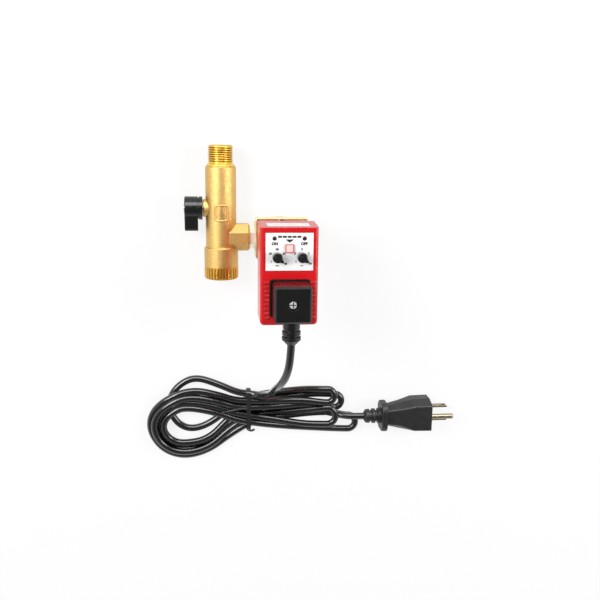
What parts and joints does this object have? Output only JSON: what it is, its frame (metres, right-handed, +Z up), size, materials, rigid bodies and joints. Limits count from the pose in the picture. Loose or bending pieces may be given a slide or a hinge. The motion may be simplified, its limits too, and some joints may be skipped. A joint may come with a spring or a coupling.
{
  "type": "automatic drain valve",
  "caption": "Timer-driven solenoid condensate drain with a ball-valve strainer, adjustment knobs, test button and a coiled mains lead with its plug.",
  "frame": {"origin": "middle of the footprint of valve and strainer, on the table they lie on, cord left out", "axes": "+Y along the flow toward the inlet thread's end, +Z up from the table toward the timer panel, +X from the strainer to the solenoid valve's outlet"},
  "size_m": [0.2813, 0.2827, 0.1174],
  "materials": {
    "cast_brass": "satin",
    "turned_brass": "polished",
    "nickel_plate": "polished",
    "steel": "satin",
    "copper": "satin",
    "white_plastic": "matte",
    "red_plastic": "satin",
    "label": "matte",
    "black_plastic": "satin",
    "potentiometer": "satin",
    "circuit": "satin",
    "lamp": "gloss",
    "button": "satin",
    "rubber": "matte",
    "contact_brass": "polished",
    "cord_vinyl": "gloss",
    "tie": "satin"
  },
  "bodies": {
    "valve": {"ball_seats": "white_plastic", "board_components": "black_plastic", "bonnet_plate": "cast_brass", "bonnet_screws": "steel", "cap_ring": "rubber", "circuit_board": "circuit", "coil_bobbin": "white_plastic", "coil_nut": "steel", "coil_washer": "steel", "coil_winding": "copper", "coil_yoke": "steel", "connector_base": "black_plastic", "connector_gasket": "rubber", "connector_pins": "contact_brass", "connector_screw": "steel", "connector_shell": "black_plastic", "cord_hank": "cord_vinyl", "cord_lead": "cord_vinyl", "cord_tail": "cord_vinyl", "cord_tie": "tie", "fixed_core": "steel", "front_housing": "red_plastic", "guide_tube": "steel", "hex_nipple": "nickel_plate", "housing_screws": "steel", "inlet_nipple": "turned_brass", "mains_plug": "cord_vinyl", "panel_label": "label", "panel_lamps": "lamp", "pin_sockets": "contact_brass", "plug_blades": "contact_brass", "plug_pin": "contact_brass", "plunger_spring": "steel", "potentiometers": "potentiometer", "rear_housing": "red_plastic", "strain_relief": "cord_vinyl", "strainer_body": "cast_brass", "strainer_cap": "turned_brass", "strainer_screen": "steel", "terminal_block": "black_plastic", "test_switch": "black_plastic", "tube_ring": "rubber", "valve_body": "cast_brass"},
    "lever": {"lever_handle": "black_plastic", "lever_screw": "steel", "ball_stem": "turned_brass", "stem_rings": "rubber", "valve_ball": "turned_brass"},
    "interval_dial": {"interval_knob": "black_plastic", "interval_shaft": "potentiometer"},
    "discharge_dial": {"discharge_knob": "black_plastic", "discharge_shaft": "potentiometer"},
    "test_key": {"test_button": "button"},
    "armature": {"plunger": "steel", "plunger_seal": "rubber"}
  },
  "joints": [
    {"name": "lever_turn", "type": "hinge", "parent": "valve", "child": "lever", "pos_m": [-0.0211, 0.0218, 0.0144], "axis": [-1, 0, 0], "range_deg": [0, 90]},
    {"name": "interval_turn", "type": "hinge", "parent": "valve", "child": "interval_dial", "pos_m": [0.0202, -0.0087, 0.0904], "axis": [0, 0, 1], "range_deg": [0, 258]},
    {"name": "discharge_turn", "type": "hinge", "parent": "valve", "child": "discharge_dial", "pos_m": [0.0392, -0.0087, 0.0904], "axis": [0, 0, 1], "range_deg": [0, 258]},
    {"name": "test_press", "type": "slide", "parent": "valve", "child": "test_key", "axis": [0, 0, -1], "range_m": [0, 0.0008], "stiffness_N_per_m": 300, "springref_m": -0.001},
    {"name": "armature_lift", "type": "slide", "parent": "valve", "child": "armature", "axis": [0, 0, 1], "range_m": [0, 0.002], "stiffness_N_per_m": 400, "springref_m": -0.003, "deforming": ["plunger_spring"]}
  ]
}
